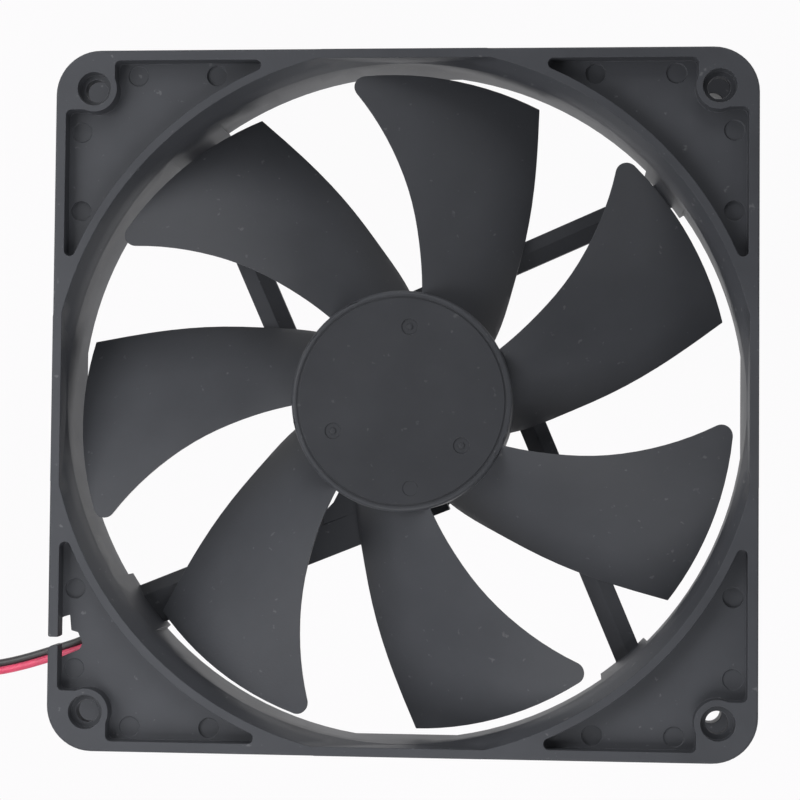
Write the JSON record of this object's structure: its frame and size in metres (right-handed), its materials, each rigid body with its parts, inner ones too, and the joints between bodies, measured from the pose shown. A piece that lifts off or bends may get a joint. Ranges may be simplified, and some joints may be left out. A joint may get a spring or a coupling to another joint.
{
  "type": "axial case fan",
  "caption": "Square axial case fan: ducted frame with cored corner flanges and tangential struts, swept-blade impeller on a hub motor, and a two-wire lead.",
  "frame": {"origin": "centre of the back face, on the fan's axis", "axes": "+Z along the fan's axis out of the front (intake) face, X and Y along the sides of the square; seen from the front, +X points right and the lead leaves at -X, -Y"},
  "size_m": [0.191, 0.14, 0.025],
  "materials": {
    "frame_plastic": "semi-matte moulded plastic, fine grain",
    "impeller_plastic": "semi-matte moulded plastic",
    "steel": "drawn and zinc plated",
    "shaft_steel": "ground",
    "core_steel": "stacked sheets",
    "magnet": "dull moulded ferrite",
    "brass": "turned",
    "bronze": "sintered, oiled",
    "clip_plastic": "natural",
    "copper": "enamelled wire",
    "insulator": "natural",
    "board": "solder resist",
    "chip": "moulded",
    "ceramic": "fired",
    "label": "printed film",
    "red_wire": "satin vinyl",
    "black_wire": "satin vinyl",
    "lead_mixed": "satin vinyl",
    "tin": "tinned",
    "connector": "natural nylon"
  },
  "bodies": {
    "frame_body": {"bearing_tube": "brass", "black_lead": "black_wire", "black_lead_in_strut": "black_wire", "black_lead_tail": "black_wire", "black_terminal": "tin", "circuit_board": "board", "connector_housing": "connector", "frame": "frame_plastic", "hall_driver_chip": "chip", "lead_coil": "lead_mixed", "lower_insulator": "insulator", "oil_washer": "clip_plastic", "polarity_diode": "chip", "rear_label": "label", "red_lead": "red_wire", "red_lead_in_strut": "red_wire", "red_lead_tail": "red_wire", "red_terminal": "tin", "sense_resistor": "chip", "sleeve_bearing": "bronze", "stator_core": "core_steel", "supply_capacitor": "ceramic", "terminal_pin_1": "tin", "terminal_pin_2": "tin", "terminal_pin_3": "tin", "thrust_plate": "clip_plastic", "upper_insulator": "insulator", "winding_1": "copper", "winding_2": "copper", "winding_3": "copper", "winding_4": "copper"},
    "rotor": {"impeller": "impeller_plastic", "rotor_yoke": "steel", "ring_magnet": "magnet", "shaft": "shaft_steel", "shaft_insert": "brass", "retaining_clip": "clip_plastic"}
  },
  "joints": [
    {"name": "impeller_spin", "type": "hinge", "parent": "frame_body", "child": "rotor", "pos_m": [0, 0, 0.01], "axis": [0, 0, 1], "continuous": true}
  ]
}
